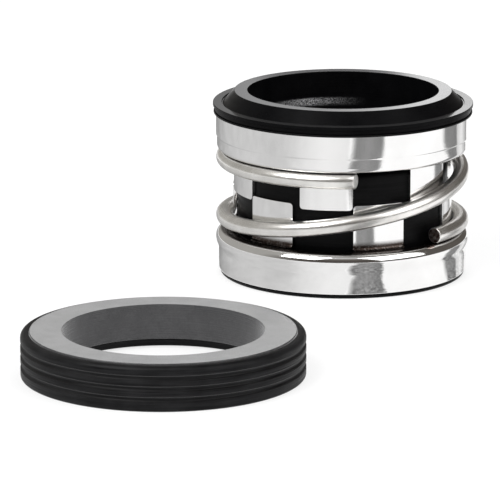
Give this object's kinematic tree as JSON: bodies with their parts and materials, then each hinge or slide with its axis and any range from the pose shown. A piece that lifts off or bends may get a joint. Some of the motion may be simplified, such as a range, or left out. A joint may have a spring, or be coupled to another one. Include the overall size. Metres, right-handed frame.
{
  "type": "mechanical shaft seal",
  "caption": "Rubber bellows shaft seal: spring-loaded rotating head with interlocking drive shells, and a stationary seat ring in a ribbed rubber cup.",
  "frame": {"origin": "centre of the shaft bore at the rear end of the head's rubber tail, on the surface that both halves stand on", "axes": "+Z along the head's shaft axis, from the drive end towards the sealing nose; -Y towards the side that is seen first, with the stationary seat lying ahead and to the left"},
  "size_m": [0.0956, 0.1466, 0.0408],
  "materials": {
    "ring_carbide": "dense grey ceramic, lapped nose face, satin sides",
    "seat_carbide": "grey ceramic, lapped face, satin bore",
    "shell_steel": "pressed stainless sheet, mirror polished",
    "spring_steel": "bright drawn stainless wire",
    "bellows_rubber": "moulded black rubber, satin",
    "gasket_rubber": "moulded black rubber, matt with fine moulding grain"
  },
  "bodies": {
    "drive_side": {"drive_band": "shell_steel", "bellows": "bellows_rubber", "spring": "spring_steel", "seat_ring": "seat_carbide", "seat_gasket": "gasket_rubber"},
    "face_side": {"primary_ring": "ring_carbide", "retainer": "shell_steel"}
  },
  "joints": [
    {"name": "face_travel", "type": "slide", "parent": "drive_side", "child": "face_side", "axis": [0, 0, 1], "range_m": [-0.006, 0], "stiffness_N_per_m": 10300, "deforming": ["spring", "bellows"]}
  ]
}
